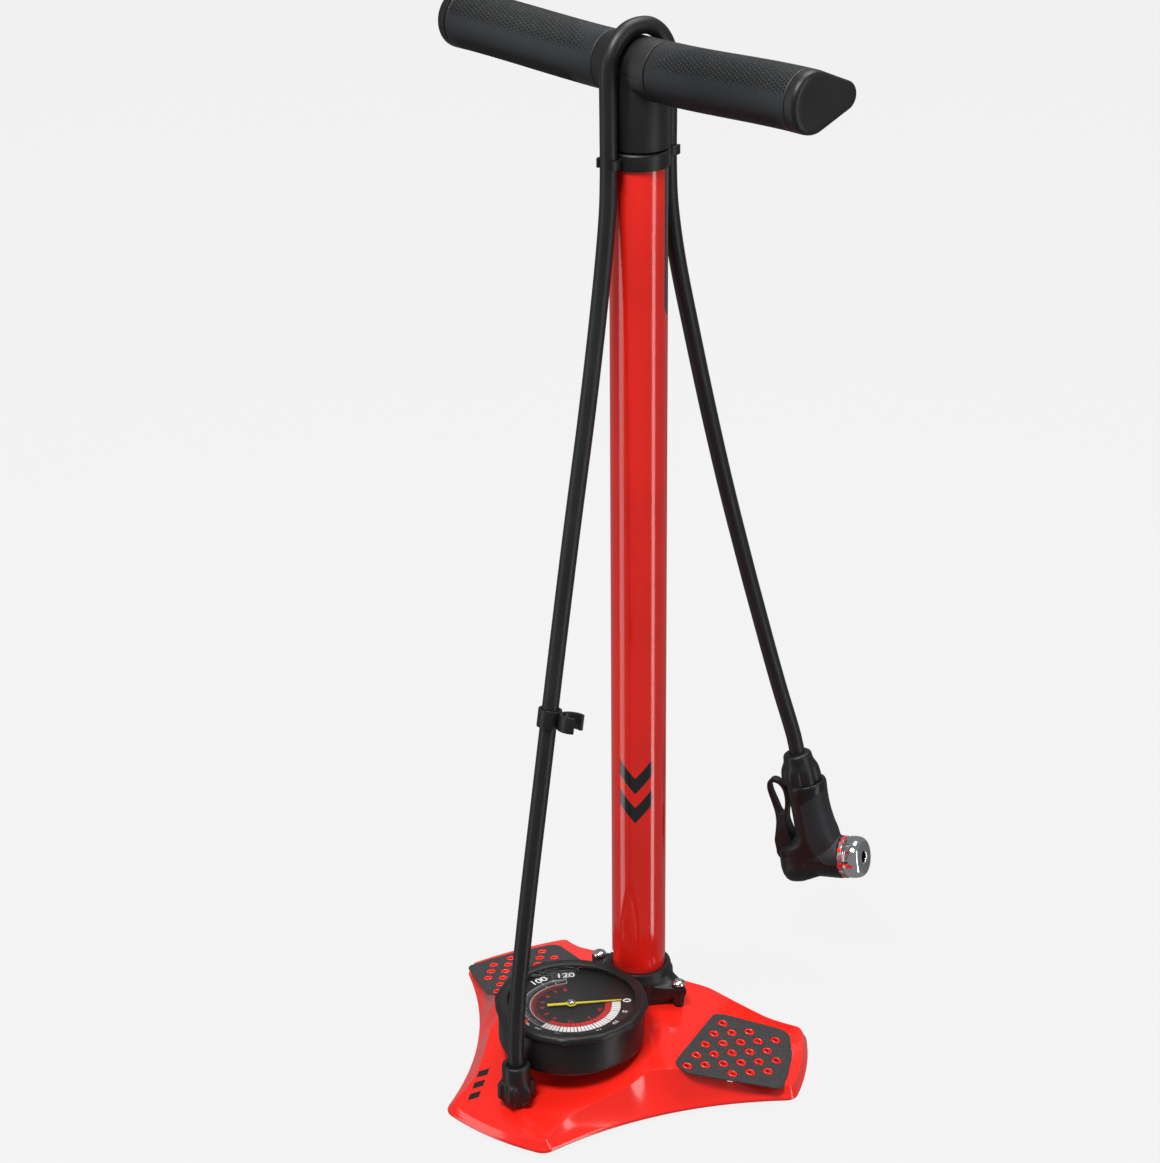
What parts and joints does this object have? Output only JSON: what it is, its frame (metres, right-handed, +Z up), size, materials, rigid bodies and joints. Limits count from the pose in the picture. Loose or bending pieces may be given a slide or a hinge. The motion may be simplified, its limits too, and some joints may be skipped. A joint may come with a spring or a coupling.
{
  "type": "foot air pump",
  "caption": "Upright hand pump on a flat foot plate: a tall barrel with a T handle and piston rod, a round pressure gauge, and a hose looped over the handle to a lever chuck.",
  "frame": {"origin": "on the floor, under the middle of the pump's bounding box without its hose, hose clip and chuck", "axes": "+Z up along the barrel; -Y towards the gauge and the front of the foot plate; +X to the right of someone who stands behind the pump and faces its gauge, with the handle's bar 10 degrees off it"},
  "size_m": [0.2972, 0.3255, 0.6792],
  "materials": {
    "brass": "polished",
    "black_plastic": "satin moulded",
    "black_rubber": "matt",
    "red_paint": "gloss enamel",
    "steel": "ground",
    "chrome": "mirror polished",
    "dial_black": "satin print",
    "clear_lens": "clear polished",
    "needle_yellow": "satin",
    "grit_sheet": "coarse grit",
    "grip_rubber": "satin",
    "marker_red": "gloss"
  },
  "bodies": {
    "pump_body": {"air_duct": "brass", "barrel_collar": "black_plastic", "barrel_seal": "black_rubber", "barrel_tube": "red_paint", "base_plate": "red_paint", "bourdon_tube": "brass", "check_valve_seat": "brass", "check_valve_spring": "steel", "chuck_body": "black_plastic", "chuck_gasket": "black_rubber", "chuck_nut": "black_plastic", "collar_screw_left": "chrome", "collar_screw_right": "chrome", "dial_plate": "dial_black", "gauge_housing": "black_plastic", "gauge_stem": "brass", "grip_pad_left": "grit_sheet", "grip_pad_right": "grit_sheet", "hose": "black_rubber", "hose_nut": "black_plastic", "lever_pin": "steel", "movement_plate": "brass", "nozzle_cap": "chrome", "nozzle_ring": "marker_red", "outlet_fitting": "brass", "rod_bush": "brass", "rubber_foot_front_left": "black_rubber", "rubber_foot_front_right": "black_rubber", "rubber_foot_left": "black_rubber", "rubber_foot_right": "black_rubber", "top_cap": "black_plastic", "valve_body": "brass"},
    "handle": {"handle_core": "black_plastic", "handle_grip_left": "grip_rubber", "handle_grip_right": "grip_rubber", "grip_end_cap_left": "black_plastic", "grip_end_cap_right": "black_plastic", "rod_lock_nut": "steel", "piston_rod": "steel", "piston_head": "black_plastic", "piston_cup": "black_rubber", "piston_nut": "steel", "top_out_bumper": "black_rubber"},
    "needle": {"gauge_needle": "needle_yellow", "needle_hub": "steel", "needle_spindle": "brass"},
    "sector": {"sector_gear": "brass"},
    "gauge_ring": {"gauge_bezel": "black_plastic", "gauge_lens": "clear_lens", "pressure_marker": "marker_red"},
    "valve_disc": {"check_valve_disc": "black_rubber"},
    "lever": {"chuck_lever": "black_plastic"},
    "plunger": {"chuck_plunger": "steel"},
    "clip": {"hose_clip": "black_plastic"}
  },
  "joints": [
    {"name": "handle_slide", "type": "slide", "parent": "pump_body", "child": "handle", "axis": [0, 0, 1], "range_m": [0, 0.46], "deforming": ["hose"]},
    {"name": "sector_turn", "type": "hinge", "parent": "pump_body", "child": "sector", "pos_m": [-0.018, -0.0197, 0.044], "axis": [0, 0, 1], "range_deg": [0, 53.2]},
    {"name": "needle_turn", "type": "hinge", "parent": "pump_body", "child": "needle", "pos_m": [0, -0.0197, 0.0565], "axis": [0, 0, 1], "range_deg": [-272, 0]},
    {"name": "gauge_ring_turn", "type": "hinge", "parent": "pump_body", "child": "gauge_ring", "pos_m": [0, -0.0197, 0.0584], "axis": [0, 0, 1], "continuous": true},
    {"name": "valve_lift", "type": "slide", "parent": "pump_body", "child": "valve_disc", "axis": [0, 0, -1], "range_m": [0, 0.0015], "stiffness_N_per_m": 50, "springref_m": -0.002, "deforming": ["check_valve_spring"]},
    {"name": "lever_turn", "type": "hinge", "parent": "pump_body", "child": "lever", "pos_m": [0.02627, 0.19637, 0.08067], "axis": [0.1908, -0.9816, 0], "range_deg": [0, 85]},
    {"name": "plunger_slide", "type": "slide", "parent": "pump_body", "child": "plunger", "axis": [0.9602, 0.1866, 0.2079], "range_m": [0, 0.0025]},
    {"name": "clip_turn", "type": "hinge", "parent": "pump_body", "child": "clip", "pos_m": [-0.0005, -0.038, 0.2683], "axis": [-0.0122, 0.2241, 0.9745], "continuous": true}
  ],
  "couplings": [
    {"joint": "needle_turn", "follows": "sector_turn", "ratio": -5.1034},
    {"joint": "plunger_slide", "follows": "lever_turn", "m_per_rad": 0.001685}
  ]
}
